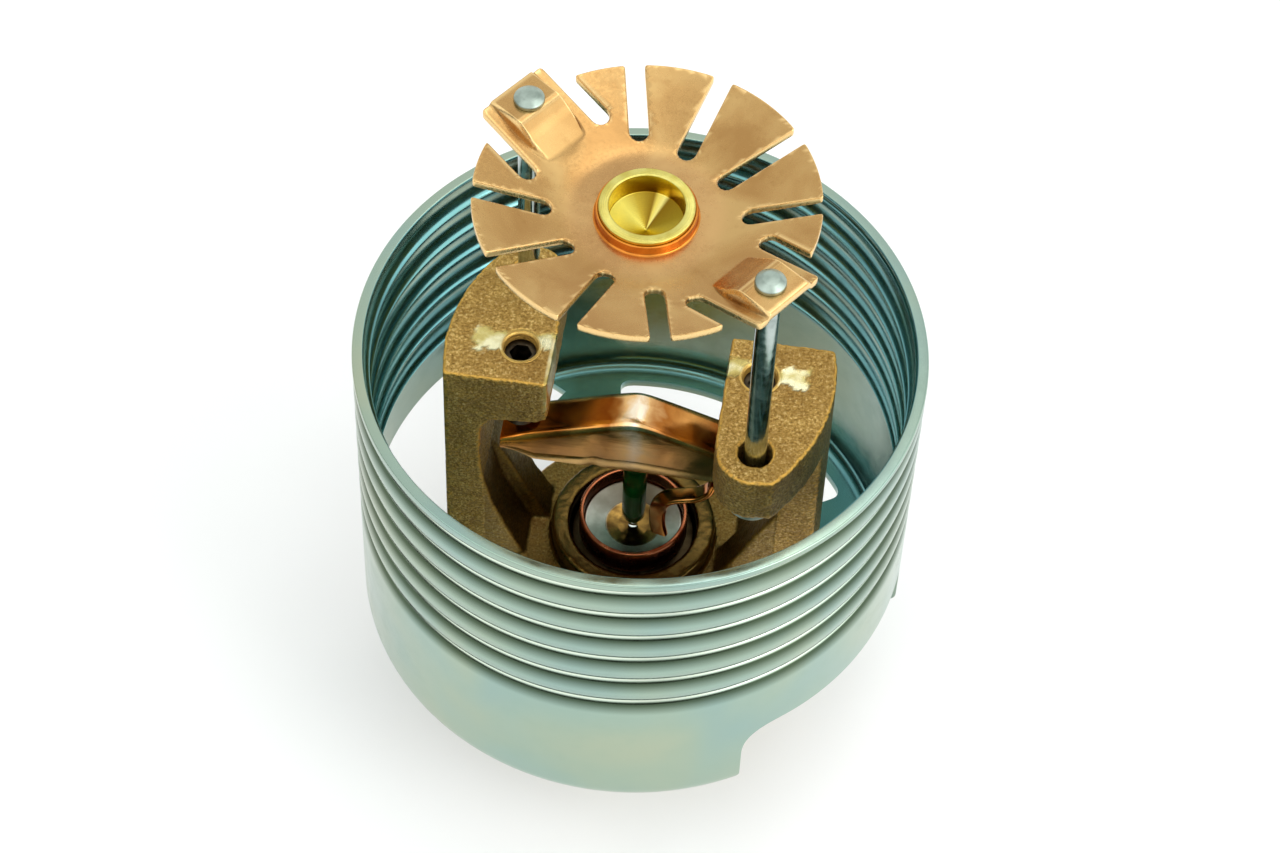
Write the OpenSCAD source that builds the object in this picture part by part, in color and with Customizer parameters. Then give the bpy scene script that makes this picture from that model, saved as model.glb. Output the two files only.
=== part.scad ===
// Concealed pendent fire sprinkler head without its cover plate.
// It stands on its inlet: +Z runs from the inlet to the deflector, X runs
// through both arms, and the origin is the centre of the inlet's end face.

/* [Frame casting] */
// Length of the inlet nipple below the support cup
nipple_l = 15; // [12:0.5:20]
// Outside radius of the inlet nipple, a 1/2 inch taper pipe thread
nipple_r = 10.6; // [10.4:0.05:10.8]
// Radius of the waterway
waterway_r = 6.35; // [5.5:0.05:7]
// Height of the arms' top above the underside of the cup
arm_top = 37.7; // [34:0.1:39]
// Outer radius of both arms, about the centre line
arm_r = 19.6; // [18:0.1:21]
// Width of an arm, along Y
arm_w = 9; // [7:0.5:11]
// Height of the slotted head at the top of each arm
head_h = 5.9; // [5:0.1:8]
// Distance from the centre line to the inner face of a head
head_in = 8.65; // [8:0.05:10]

/* [Support cup] */
// Outside radius of the cup's thread
cup_r = 28.5; // [27:0.1:30]
// Height of the cup
cup_h = 40.1; // [36:0.1:44]
// Thickness of the cup's sheet
sheet = 1; // [0.6:0.1:1.2]
// Distance between two turns of the rolled thread
thread_pitch = 3.9; // [3.5:0.1:4.2]
// Depth of the rolled thread
thread_depth = 0.7; // [0.3:0.1:0.8]
// Width of the vent arch that is cut out of the wall and floor
arch_w = 28; // [20:1:30]
// Height of the vent arch
arch_h = 10.3; // [8:0.1:11]

/* [Deflector] */
// Height of the deflector's flat centre above the underside of the cup, drawn out
plate_z = 60.5; // [58:0.1:63]
// Radius over the teeth
teeth_r = 16.5; // [15:0.1:18]
// Distance from the centre line to the end of a riveted tab
tab_l = 18.1; // [17:0.1:19]
// Width of a riveted tab
tab_w = 8; // [7:0.1:9]
// Thickness of the plate
plate_t = 0.9; // [0.7:0.1:1.2]
// Width of the slots between the teeth
slot_w = 1.9; // [1.6:0.1:2.2]

/* [Guide pins] */
// Distance from the centre line to a guide pin
pin_at = 15.64; // [15:0.02:16]
// Angle of the right guide pin from the arms' axis
pin_angle = -36; // [-40:1:-32]
// Radius of a guide pin
pin_r = 1.1; // [1:0.05:1.4]
// Radius of the hole that a pin slides in
pin_hole_r = 1.7; // [1.5:0.05:2]

/* [Release parts] */
// Distance from the centre line to a set screw
screw_at = 12; // [11:0.1:13]
// Radius of a set screw
screw_r = 1.8; // [1.5:0.05:2]
// Height of the yoke's ridge above the underside of the cup
yoke_z = 29.9; // [28:0.1:31]
// Half the length of the yoke
yoke_l = 13.8; // [13:0.1:14.2]
// Width of the yoke, along Y
yoke_w = 5; // [4:0.1:6]
// Outside radius of the glass bulb
bulb_r = 1.25; // [1.2:0.05:1.6]

/* [Hidden] */
$fn = 96;

// Clearance between two pieces that touch on the real object
gap = 0.03;
// Overshoot of a cutting tool past the face that it cuts
over = 1;

base = nipple_l;                       // underside of the cup
floor_top = base + sheet;
arms_z = base + arm_top;               // top of the arms
head_z = arms_z - head_h;              // underside of a head's overhang
slot_top = 46.2;                       // underside of a head above the yoke
post_in = 15.6;                        // inner face of a post
arm_foot_r = 16.2;                     // arms' reach where they stand on the cup's floor
arm_root_z = 23;                       // height where the arms reach their full radius
web_z = 22.4;                          // top of the web that joins the arms
boss_r = 8.6;                          // boss round the cap's seat
boss_z = 24.8;
hub_r = 12.6;                          // hub at the height of the web
hub_base_h = 3;                        // straight part of the hub above the cup's floor
neck_r = 11.95;                        // neck that the cup's floor grips
collar_r = 13.1;                       // collar swaged under the cup's floor
collar_t = 1.1;
seat_r = 6.7;                          // recess that holds the seal
seat_z = 22.3;
throat_r = 4.9;                        // outlet of the waterway
throat_l = 3;

corner_out = 2.6;                      // bend between the cup's wall and floor
rim_z = base + cup_h;
thread_z = base + 18.9;                // lowest turn of the cup's thread
thread_turns = 5;
arch_angle = -29.5;                    // middle of the right arch
arch_span = 54;                        // part of the floor that the arch takes
window_angle = 66;                     // middle of the back floor window
window_span = 70;
window_in = 13.9;
window_out = 25;
arch_corner = 4;

plate_top = base + plate_z;
plate_flat_r = 7.9;                    // where the plate starts to rise
plate_slope = 0.32;
pad_top = base + 64.2;                 // level pad that carries a rivet
pad_w = 5.2;
pad_from = 10.4;                       // where the pad's ramp starts
pad_knee = 12.9;                       // where the ramp becomes gentle
pad_knee_drop = 0.9;                   // height of the knee below the level part
pad_level = 14.1;                      // where the pad becomes level
tab_angle = 180 + pin_angle;
side_slot_at = 4.95;                   // slots beside a tab, from its middle
side_slot_root = 11.05;
slot_angles = [41.8, 72.4];            // other slots, from a tab's middle
slot_roots = [9.9, 8.7];

collar_out = 4.85;                     // copper collar drawn up round the nose
collar_h = 1.1;
nose_r = 4.6;
nose_in = 3.65;
nose_shank_r = 4.15;                   // shank through the plate
nose_flange_r = 4.75;                  // flange that is spun over under the plate
nose_top = plate_top + 1.55;
nose_wall_l = 2.4;                     // straight part of the nose's recess
nose_cone_l = 1.25;                    // conical part under it
nose_floor = 0.6;                      // metal left under the cone's tip

foot_r = 2.5;                          // foot that stops a pin under its head
foot_h = 2.2;
rivet_r = 1.5;
rivet_h = 0.9;

yoke_t = 0.9;
yoke_ridge = base + yoke_z;
yoke_drop = 5.1;                       // fall from the ridge to an end
yoke_low = 37.2;                       // lower edge of the side flanges
yoke_low_l = 10.4;                     // half the length of that edge
yoke_lip = 1;                          // solid end of the yoke beyond its hollow
screw_low = yoke_ridge - yoke_drop * screw_at / yoke_l + 0.65;
screw_l = 10.4;
screw_tip = 0.6;                       // chamfer at its lower end
screw_socket_r = 1.15;
screw_socket_l = 2.5;

cap_low = 23.35;
cap_top = 26.6;
cap_r = 5.7;
cap_wall = 0.5;
insert_r = cap_r - cap_wall - gap;
insert_top = 25;
bulb_low = 24.05;
bulb_top = yoke_ridge - yoke_t - 0.25;
glass_t = 0.3;
glass_end = 0.8;                       // glass at each end of the bulb
bubble_h = 1.4;                        // empty space above the liquid
seal_t = 0.3;
seal_in = 5.2;
seal_out = 6.3;
washer_t = 0.25;
washer_in = 3.2;
washer_out = 6.4;

// Height of the plate's upper face at a distance from the centre line
function plate_at(r) = plate_top + max(0, r - plate_flat_r) * plate_slope;

// Cylinder of radius r between two heights
module post(r, low, high) {
    translate([0, 0, low]) cylinder(r = r, h = high - low);
}

// Copies the right-hand feature to both sides of the centre line
module both_sides() {
    children();
    rotate(180) children();
}

module at_pin() {
    rotate(pin_angle) translate([pin_at, 0, 0]) children();
}

// ---- Frame casting ----

// Plan of the right head: square at the back, round about the pin in front
module head_plan() {
    pin_x = pin_at * cos(pin_angle);
    pin_y = pin_at * sin(pin_angle);
    round_r = 3.85;
    tip_angle = -41;
    intersection() {
        circle(r = arm_r);
        union() {
            translate([head_in, pin_y]) square([arm_r - head_in, arm_w / 2 - pin_y]);
            translate([pin_x, pin_y]) circle(r = round_r);
            polygon([
                [pin_x, pin_y], [pin_x, pin_y - round_r],
                [arm_r * cos(tip_angle), arm_r * sin(tip_angle)], [arm_r, pin_y]
            ]);
        }
    }
}

// Outline of the arms and web in the XZ plane, right half
module arm_side() {
    foot = [
        [0, floor_top + gap], [arm_foot_r, floor_top + gap],
        [arm_foot_r + 2.4, floor_top + 2.4], [arm_r, arm_root_z]
    ];
    head = [[arm_r, arms_z], [head_in, arms_z], [head_in, slot_top + 0.7]];
    slot_corner = [
        [head_in + 1, slot_top], [post_in - 1.2, slot_top - 0.6], [post_in - 0.2, slot_top - 2.2]
    ];
    inner_curve = [
        [post_in, web_z + 17.1], [post_in - 0.3, web_z + 13.3], [post_in - 1.3, web_z + 8.8],
        [post_in - 2.9, web_z + 4.4], [post_in - 4.7, web_z]
    ];
    polygon(concat(foot, head, slot_corner, inner_curve, [[0, web_z]]));
}

// Rib that stiffens the root of the right arm on its inner face
module arm_rib() {
    rib_w = 4;
    translate([0, rib_w - arm_w / 2, 0]) rotate([90, 0, 0])
        linear_extrude(height = rib_w) polygon([
            [post_in, web_z - 1], [post_in, web_z + 13.3], [post_in - 0.4, web_z + 13.3],
            [post_in - 2.6, web_z + 8.8], [post_in - 4.4, web_z + 4.4],
            [post_in - 6.5, web_z], [post_in - 6.5, web_z - 1]
        ]);
}

module arm_pair() {
    intersection() {
        both_sides() rotate([90, 0, 0])
            linear_extrude(height = arm_w, center = true) arm_side();
        post(arm_r, floor_top, arms_z + over);
    }
}

module nipple() {
    chamfer = 0.8;
    cylinder(r1 = nipple_r - chamfer, r2 = nipple_r, h = chamfer);
    post(nipple_r, chamfer, base - collar_t);
    post(collar_r, base - collar_t, base - gap);
    post(neck_r, base - 2 * gap, floor_top + 2 * gap);
}

module frame() {
    color("darkgoldenrod") difference() {
        union() {
            nipple();
            post(collar_r, floor_top + gap, floor_top + hub_base_h);
            translate([0, 0, floor_top + hub_base_h])
                cylinder(r1 = collar_r, r2 = hub_r, h = web_z - floor_top - hub_base_h);
            post(boss_r, web_z - 1, boss_z);
            arm_pair();
            both_sides() arm_rib();
            both_sides() translate([0, 0, head_z])
                linear_extrude(height = head_h) head_plan();
        }
        post(waterway_r, -over, seat_z - throat_l);
        post(throat_r, seat_z - throat_l - over, seat_z + over);
        post(seat_r, seat_z, boss_z + over);
        both_sides() {
            translate([screw_at, 0, 0]) post(screw_r + gap, slot_top - 3, arms_z + over);
            at_pin() post(pin_hole_r, head_z - over, arms_z + over);
        }
    }
}

// ---- Support cup ----

// Depth of the thread at a height, rounded crests between narrow grooves
function thread_at(z) =
    z < thread_z - thread_pitch / 2 ? 0 :
    thread_depth * pow(abs(cos(180 * (z - thread_z) / thread_pitch)), 6);

module cup_wall() {
    steps = 8 * thread_turns + 4;
    low = thread_z - thread_pitch / 2;
    high = rim_z - 0.9;
    heights = [for (i = [0:steps]) low + (high - low) * i / steps];
    outside = [for (z = heights) [cup_r - thread_at(z), z]];
    inside = [for (i = [steps:-1:0]) [cup_r - sheet - thread_at(heights[i]), heights[i]]];
    rotate_extrude() {
        polygon(concat(
            [[cup_r - sheet, base + corner_out], [cup_r, base + corner_out]],
            outside,
            [[cup_r, rim_z - 0.5], [cup_r - 0.3, rim_z], [cup_r - sheet - 0.3, rim_z],
             [cup_r - sheet - 0.3, rim_z - 0.5]],
            inside
        ));
        translate([cup_r - corner_out, base + corner_out]) intersection() {
            difference() {
                circle(r = corner_out);
                circle(r = corner_out - sheet);
            }
            translate([0, -corner_out]) square(corner_out);
        }
        translate([neck_r + gap, base]) square([cup_r - corner_out - neck_r - gap, sheet]);
    }
}

// Part of a flat ring about the centre line
module sector(from_r, to_r, middle, span, low, high) {
    translate([0, 0, low]) rotate(middle - span / 2) rotate_extrude(angle = span)
        translate([from_r, 0]) square([to_r - from_r, high - low]);
}

// Arch with round upper corners, cut through the wall from outside
module wall_arch() {
    half = arch_w / 2;
    rotate(arch_angle) translate([20, 0, base - over]) rotate([90, 0, 90])
        linear_extrude(height = 12) {
            translate([-half, 0]) square([arch_w, arch_h + over - arch_corner]);
            translate([-half + arch_corner, 0])
                square([arch_w - 2 * arch_corner, arch_h + over]);
            for (side = [-1, 1])
                translate([side * (half - arch_corner), arch_h + over - arch_corner])
                    circle(r = arch_corner);
        }
}

module support_cup() {
    color("cadetblue") difference() {
        cup_wall();
        both_sides() {
            wall_arch();
            sector(window_in, cup_r - 1.5, arch_angle, arch_span, base - over, floor_top + 1.5);
            sector(window_in, window_out, window_angle, window_span, base - over, floor_top + over);
        }
    }
}

// ---- Deflector ----

module slot(root) {
    translate([root, 0]) circle(r = slot_w / 2);
    translate([root, -slot_w / 2]) square([20, slot_w]);
}

module deflector_plan() {
    difference() {
        union() {
            circle(r = teeth_r);
            both_sides() rotate(tab_angle) translate([0, -tab_w / 2]) square([tab_l, tab_w]);
        }
        both_sides() rotate(tab_angle) for (side = [-1, 1]) {
            translate([0, side * side_slot_at]) slot(side_slot_root);
            for (i = [0:len(slot_angles) - 1])
                rotate(side * slot_angles[i]) slot(slot_roots[i]);
        }
    }
}

// Plate that is level in the middle and rises in a cone to the teeth
module risen_plate() {
    end = tab_l + 1.5;
    rotate_extrude() polygon([
        [0, plate_top - plate_t], [plate_flat_r, plate_top - plate_t],
        [end, plate_at(end) - plate_t], [end, plate_at(end)],
        [plate_flat_r, plate_top], [0, plate_top]
    ]);
}

// Level pad pressed up out of a tab, with a ramp at its inner end
module rivet_pad() {
    rotate(tab_angle) rotate([90, 0, 0])
        linear_extrude(height = pad_w, center = true) polygon([
            [pad_from, plate_at(pad_from) - plate_t / 2], [pad_from, plate_at(pad_from)],
            [pad_knee, pad_top - pad_knee_drop], [pad_level, pad_top], [tab_l, pad_top],
            [tab_l, plate_at(tab_l) - plate_t], [pad_level, plate_at(pad_level) - plate_t / 2]
        ]);
}

module deflector() {
    color("peru") difference() {
        union() {
            intersection() {
                risen_plate();
                translate([0, 0, plate_top - 3]) linear_extrude(height = 12) deflector_plan();
            }
            both_sides() rivet_pad();
            post(collar_out, plate_top - plate_t, plate_top + collar_h);
        }
        post(nose_shank_r, plate_top - 3, nose_top);
        both_sides() at_pin() post(pin_r + gap, plate_top - 3, pad_top + over);
        post(nose_r + gap, plate_top + 0.2, nose_top);
    }
}

// Turned nose with a rim over the collar and a conical recess
module deflector_nose() {
    cone_top = nose_top - nose_wall_l;
    cone_low = cone_top - nose_cone_l;
    shank_low = cone_low - nose_floor;
    color("gold") difference() {
        union() {
            post(nose_shank_r - gap, shank_low, plate_top + 0.5);
            post(nose_r, plate_top + 0.2 + gap, nose_top);
            post(nose_flange_r, shank_low, plate_top - plate_t - gap);
        }
        post(nose_in, cone_top, nose_top + over);
        translate([0, 0, cone_low]) cylinder(r1 = 0.05, r2 = nose_in, h = nose_cone_l + gap);
    }
}

module guide_pin() {
    foot_top = head_z - 0.1;
    color("lightsteelblue") at_pin() {
        post(pin_r, foot_top - 0.2, pad_top + 0.2);
        post(foot_r, foot_top - foot_h, foot_top);
        translate([0, 0, foot_top - foot_h - 0.4])
            cylinder(r1 = foot_r - 0.7, r2 = foot_r, h = 0.4);
        post(rivet_r, pad_top + gap, pad_top + rivet_h / 2);
        translate([0, 0, pad_top + rivet_h / 2])
            cylinder(r1 = rivet_r, r2 = rivet_r * 0.55, h = rivet_h / 2);
    }
}

module guide_pin_left() { rotate(180) guide_pin(); }

module guide_pin_right() { guide_pin(); }

// ---- Release parts ----

module set_screw() {
    color("dimgray") translate([screw_at, 0, 0]) difference() {
        union() {
            post(screw_r, screw_low + screw_tip, screw_low + screw_l);
            translate([0, 0, screw_low])
                cylinder(r1 = screw_r - screw_tip, r2 = screw_r, h = screw_tip);
        }
        translate([0, 0, screw_low + screw_l - screw_socket_l])
            cylinder(r = screw_socket_r, h = screw_socket_l + over, $fn = 6);
    }
}

module set_screw_left() { rotate(180) set_screw(); }

module set_screw_right() { set_screw(); }

// Bridge of folded bronze under both heads: a roof and two side flanges
module yoke() {
    end_z = yoke_ridge - yoke_drop;
    hollow_z = end_z - yoke_t + yoke_lip * yoke_drop / yoke_l;
    color("chocolate") rotate([90, 0, 0]) difference() {
        linear_extrude(height = yoke_w, center = true) polygon([
            [0, yoke_ridge], [-yoke_l, end_z], [-yoke_l, end_z - yoke_t],
            [-yoke_low_l, yoke_low], [yoke_low_l, yoke_low], [yoke_l, end_z - yoke_t],
            [yoke_l, end_z]
        ]);
        linear_extrude(height = yoke_w - 2 * yoke_t, center = true) polygon([
            [0, yoke_ridge - yoke_t], [-yoke_l + yoke_lip, hollow_z],
            [-yoke_l, yoke_low - over], [yoke_l, yoke_low - over],
            [yoke_l - yoke_lip, hollow_z]
        ]);
    }
}

// Sideways unit vector at point i of a path
function across(path, i) =
    let (step = path[min(i + 1, len(path) - 1)] - path[max(i - 1, 0)])
    [-step[1], step[0]] / norm(step);

// Flat strip from the yoke's flange down beside the bulb into the cap
module ejector_spring() {
    path = [
        [8.4, 36.2], [7.9, 34.7], [6.8, 33.6], [5.2, 33], [3.8, 32.3], [3, 31], [2.7, 29.4],
        [2.7, 27.4], [3, 25.6]
    ];
    last = len(path) - 1;
    width = 1.8;
    thick = 0.8;
    color("sienna") translate([0, width / 2 - 1.6, 0]) rotate([90, 0, 0])
        linear_extrude(height = width) polygon(concat(
            [for (i = [0:last]) path[i] + across(path, i) * thick / 2],
            [for (i = [last:-1:0]) path[i] - across(path, i) * thick / 2]
        ));
}

// Round-ended column, a solid of revolution
module column(r, low, high) {
    post(r, low + r, high - r);
    for (z = [low + r, high - r]) translate([0, 0, z]) sphere(r = r);
}

module glass_bulb() {
    color("lightgreen", 0.5) difference() {
        column(bulb_r, bulb_low, bulb_top);
        column(bulb_r - glass_t, bulb_low + glass_end, bulb_top - glass_end);
    }
}

module bulb_liquid() {
    color("green") column(
        bulb_r - glass_t - gap, bulb_low + glass_end + gap, bulb_top - glass_end - bubble_h
    );
}

module pip_cap() {
    color("sienna") difference() {
        post(cap_r, cap_low, cap_top);
        post(cap_r - cap_wall, cap_low + cap_wall, cap_top + over);
    }
}

module cap_insert() {
    low = cap_low + cap_wall + gap;
    recess_low_r = 1.6;
    recess_r = 2.9;
    floor_t = 0.1;
    color("gainsboro") difference() {
        post(insert_r, low, insert_top);
        translate([0, 0, low + floor_t])
            cylinder(r1 = recess_low_r, r2 = recess_r, h = insert_top - low);
    }
}

// Fluoropolymer ring between the seat and the washer's rim
module seal_ring() {
    color("white") difference() {
        post(seal_out, seat_z + gap, seat_z + gap + seal_t);
        post(seal_in, seat_z, cap_low);
    }
}

// Coned spring washer between the seal and the cap
module belleville_washer() {
    low = seat_z + seal_t + 2 * gap;
    high = cap_low - gap;
    color("silver") rotate_extrude() polygon([
        [washer_in, high - washer_t], [washer_out, low], [washer_out, low + washer_t],
        [washer_in, high]
    ]);
}

frame();
support_cup();
deflector();
deflector_nose();
guide_pin_left();
guide_pin_right();
set_screw_left();
set_screw_right();
yoke();
ejector_spring();
glass_bulb();
bulb_liquid();
pip_cap();
cap_insert();
belleville_washer();
seal_ring();
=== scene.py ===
"""Looks of a concealed pendent fire sprinkler head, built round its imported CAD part.

Helpers work in millimetres, in the CAD's own frame, and new_piece() turns them into metres.
"""

import math
from math import asin, atan2, cos, exp, hypot, log1p, pi, radians, sin, sqrt, tan

import bmesh
import bpy
import numpy as np
from mathutils import Matrix, Vector, noise


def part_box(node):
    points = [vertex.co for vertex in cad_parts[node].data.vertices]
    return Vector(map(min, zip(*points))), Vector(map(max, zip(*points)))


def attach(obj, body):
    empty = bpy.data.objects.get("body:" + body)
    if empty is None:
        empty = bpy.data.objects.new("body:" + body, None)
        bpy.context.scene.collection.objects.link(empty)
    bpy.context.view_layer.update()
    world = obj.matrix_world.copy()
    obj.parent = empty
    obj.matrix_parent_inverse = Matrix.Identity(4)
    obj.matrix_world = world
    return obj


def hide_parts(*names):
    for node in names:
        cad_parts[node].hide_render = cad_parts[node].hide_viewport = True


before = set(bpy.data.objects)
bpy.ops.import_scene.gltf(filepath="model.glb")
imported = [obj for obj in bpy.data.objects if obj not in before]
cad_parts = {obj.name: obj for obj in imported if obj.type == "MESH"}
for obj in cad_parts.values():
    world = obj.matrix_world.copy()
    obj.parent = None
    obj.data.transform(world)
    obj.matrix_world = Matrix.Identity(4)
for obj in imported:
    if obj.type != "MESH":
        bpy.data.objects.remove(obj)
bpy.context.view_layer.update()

MM = 0.001
TAU = 2 * pi


# ------------------------ places and sizes from the CAD

def box_mm(node):
    """Lowest and highest corner of a CAD node, in millimetres."""
    low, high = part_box(node)
    return low / MM, high / MM


cup_low, cup_high = box_mm("support_cup")
frame_high = box_mm("frame")[1]
plate_high = box_mm("deflector")[1]
nose_low, nose_high = box_mm("deflector_nose")
yoke_low, yoke_high = box_mm("yoke")
screw_low, screw_high = box_mm("set_screw_right")

BASE = cup_low.z  # underside of the cup
CUP_R = cup_high.x
RIM_Z = cup_high.z
SHEET = 1.0
CUP_BEND = 2.6  # outer radius between the cup's wall and floor
NECK_R = 11.98  # hole in the floor, which grips the casting
THREAD_PITCH = 3.9
THREAD_DEPTH = 0.7
CREST_HALF = 2.06  # half-width of the ellipse that a crest follows
THREAD_LOW = BASE + 18.9
ARCH_ANGLE = radians(-29.5)
ARCH_W, ARCH_H, ARCH_CORNER = 28, 10.3, 4
ARCH_SPAN = radians(54)  # part of the floor that an arch takes
ARCH_OUT = 27
WINDOW_ANGLE = radians(66)
WINDOW_SPAN = radians(70)
WINDOW_IN, WINDOW_OUT = 13.9, 25

ARMS_TOP = frame_high.z
NIPPLE_R = 10.6
WATERWAY_R = 6.35
SCREW_HOLE_R = 1.83
SEAT_REACH = 7  # radius that takes in the seal's recess
PIN_R = 1.1
SCREW_X = (screw_low.x + screw_high.x) / 2

NOSE_RISE = 1.55  # nose's rim above the level centre of the deflector
PLATE_TOP = nose_high.z - NOSE_RISE
PLATE_T = 0.9
PAD_TOP = plate_high.z
TAB_ANGLE = radians(144)
TEETH_R = 16.5
TAB_L = 18.1
SLOT_HALF = 0.95
SIDE_SLOT = (11.05, 4.95)  # root of the slot beside a tab: along the tab, from its middle
SLOTS = [  # angle from the tab's middle and root radius of the other slots
    (41.8, 9.9), (72.4, 8.7), (107.6, 8.7), (138.2, 9.9),
]
TOOTH_CORNER = 0.45
PAD_FROM = 10.2  # where a tab's pad starts to rise
PAD_HALF = 2.1  # half-width of a pad where it starts
PAD_FALL = [  # distance along a tab, and how far its pad lies below the top
    (PAD_FROM, 2.95), (10.6, 2.75), (12.6, 1.25), (13.1, 0.8), (14.1, 0.1), (14.6, 0),
]


# ------------------------ mesh helpers

def smoothstep(low, high, value):
    """Rises smoothly from 0 at low to 1 at high, and stays level beyond."""
    share = min(1.0, max(0.0, (value - low) / (high - low)))
    return share * share * (3 - 2 * share)


def new_object(name, data):
    made = bpy.data.objects.new(name, data)
    bpy.context.scene.collection.objects.link(made)
    return made


def new_piece(name, verts, faces, weld=0.0):
    """Mesh object from points in millimetres; near points are welded and its normals face outwards."""
    mesh = bpy.data.meshes.new(name)
    mesh.from_pydata([tuple(c * MM for c in v) for v in verts], [], faces)
    shape = bmesh.new()
    shape.from_mesh(mesh)
    if weld:
        bmesh.ops.remove_doubles(shape, verts=shape.verts, dist=weld * MM)
        bmesh.ops.dissolve_degenerate(shape, dist=weld * MM, edges=shape.edges)
    bmesh.ops.recalc_face_normals(shape, faces=shape.faces)
    shape.to_mesh(mesh)
    shape.free()
    return new_object(name, mesh)


def round_corners(points, closed=False, steps=5):
    """Points are (a, b) or (a, b, radius); the corners with a radius are rounded."""
    most = 0.49  # share of a side that one corner may take up
    count = len(points)
    rounded = []
    for i, point in enumerate(points):
        here = Vector(point[:2])
        radius = point[2] if len(point) > 2 else 0
        if radius == 0 or (not closed and i in (0, count - 1)):
            rounded.append(tuple(here))
            continue
        back = Vector(points[i - 1][:2]) - here
        ahead = Vector(points[(i + 1) % count][:2]) - here
        half_angle = back.angle(ahead) / 2
        reach = min(radius / tan(half_angle), back.length * most, ahead.length * most)
        start = here + back.normalized() * reach
        end = here + ahead.normalized() * reach
        for k in range(steps + 1):
            t = k / steps
            rounded.append(tuple(start * (1 - t) ** 2 + here * 2 * t * (1 - t) + end * t * t))
    return rounded


def revolve(name, profile, segments=96, warp=None, closed=False):
    """Turns a profile of (radius, height) about Z; warp(entry, angle) may place a point itself."""
    verts, faces, rings = [], [], []
    for entry in profile:
        if entry[0] < 1e-6:
            rings.append([len(verts)] * (segments + 1))
            verts.append((0, 0, entry[1]))
            continue
        rings.append(range(len(verts), len(verts) + segments + 1))
        for i in range(segments + 1):
            angle = TAU * i / segments
            radius, height = warp(entry, angle) if warp else entry[:2]
            verts.append((radius * cos(angle), radius * sin(angle), height))
    pairs = list(zip(rings, rings[1:]))
    if closed:
        pairs.append((rings[-1], rings[0]))
    for a, b in pairs:
        for i in range(segments):
            corners = list(dict.fromkeys([a[i], a[i + 1], b[i + 1], b[i]]))
            if len(corners) > 2:
                faces.append(corners)
    return new_piece(name, verts, faces, weld=0.002)


def skin(rows, width, closed=False):
    """Faces between rows of points that follow each other in one list."""
    faces = []
    for row in range(rows - 1):
        for k in range(width if closed else width - 1):
            a, b = row * width + k, row * width + (k + 1) % width
            faces.append([a, b, b + width, a + width])
    return faces


def turned(name, points, steps=5, closed=False, segments=96):
    """Revolves a section of (radius, height, corner radius) points."""
    return revolve(name, round_corners(points, closed, steps), segments, closed=closed)


def prism(name, outline, place):
    """Closed solid between two copies of an outline; place(u, v, end) gives each point."""
    count = len(outline)
    verts = [place(u, v, end) for end in (0, 1) for u, v in outline]
    ends = [list(range(count)), list(range(count, 2 * count))[::-1]]
    return new_piece(name, verts, ends + skin(2, count, closed=True))


def modify(piece, kind, **settings):
    """Applies one modifier to the piece's mesh."""
    modifier = piece.modifiers.new("step", kind)
    for key, value in settings.items():
        setattr(modifier, key, value)
    graph = bpy.context.evaluated_depsgraph_get()
    mesh = bpy.data.meshes.new_from_object(piece.evaluated_get(graph))
    piece.modifiers.clear()
    piece.data = mesh


def cut(piece, *cutters):
    """Takes each cutter out of the piece and removes the cutter."""
    for cutter in cutters:
        modify(piece, "BOOLEAN", operation="DIFFERENCE", solver="EXACT", object=cutter)
        bpy.data.objects.remove(cutter)


def add_bevel(piece, width, angle=40, segments=2):
    """Rounds the edges that are sharper than an angle in degrees."""
    modify(
        piece, "BEVEL", width=width * MM, segments=segments,
        limit_method="ANGLE", angle_limit=radians(angle),
    )


def join(piece, *others):
    """Adds the meshes of the others to the piece."""
    shape = bmesh.new()
    for part in (piece, *others):
        shape.from_mesh(part.data)
    shape.to_mesh(piece.data)
    shape.free()
    for part in others:
        bpy.data.objects.remove(part)
    return piece


def turn(piece, angle):
    piece.data.transform(Matrix.Rotation(angle, 4, "Z"))
    return piece


def shift(piece, x, y):
    piece.data.transform(Matrix.Translation((x * MM, y * MM, 0)))
    return piece


def vertex_rows(piece, name):
    """One row of three numbers for each vertex: its place ("co") or its normal."""
    flat = np.empty(len(piece.data.vertices) * 3, np.float32)
    piece.data.vertices.foreach_get(name, flat)
    return flat.reshape(-1, 3)


def coordinates(piece):
    """Vertices of the piece in millimetres, one row each."""
    return vertex_rows(piece, "co") / MM


def distance_from_axis(points):
    return np.hypot(points[:, 0], points[:, 1])


def mark(piece, **marks):
    """Stores named numbers, one for each vertex, for the materials to read."""
    for name, values in marks.items():
        attribute = piece.data.attributes.new(name, "FLOAT", "POINT")
        attribute.data.foreach_set("value", np.asarray(values, np.float32))


def convexity(piece):
    """How far each vertex stands out of the mean of its neighbours, in millimetres."""
    mesh = piece.data
    points = coordinates(piece)
    edges = np.empty(len(mesh.edges) * 2, np.int32)
    mesh.edges.foreach_get("vertices", edges)
    edges = edges.reshape(-1, 2)
    total = np.zeros_like(points)
    count = np.zeros(len(points))
    for a, b in ((0, 1), (1, 0)):
        np.add.at(total, edges[:, a], points[edges[:, b]])
        np.add.at(count, edges[:, a], 1)
    mean = total / np.maximum(count, 1)[:, None]
    return ((points - mean) * vertex_rows(piece, "normal")).sum(1)


def mark_edges(piece, where=1):
    """Stores how sharply the piece stands out at each vertex, for worn edges."""
    mark(piece, edge=np.clip(convexity(piece), 0, 1) * where)


def slice_mesh(shape, direction, place, **options):
    """Cuts edges into a mesh along a plane, at a distance along a direction in millimetres."""
    geometry = shape.verts[:] + shape.edges[:] + shape.faces[:]
    direction = Vector(direction)
    return bmesh.ops.bisect_plane(
        shape, geom=geometry, plane_co=direction * place * MM, plane_no=direction, **options,
    )


def polar(radius, angle, *more):
    """Point at a radius and angle about Z, with anything more behind it."""
    return (radius * cos(angle), radius * sin(angle), *more)


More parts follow.
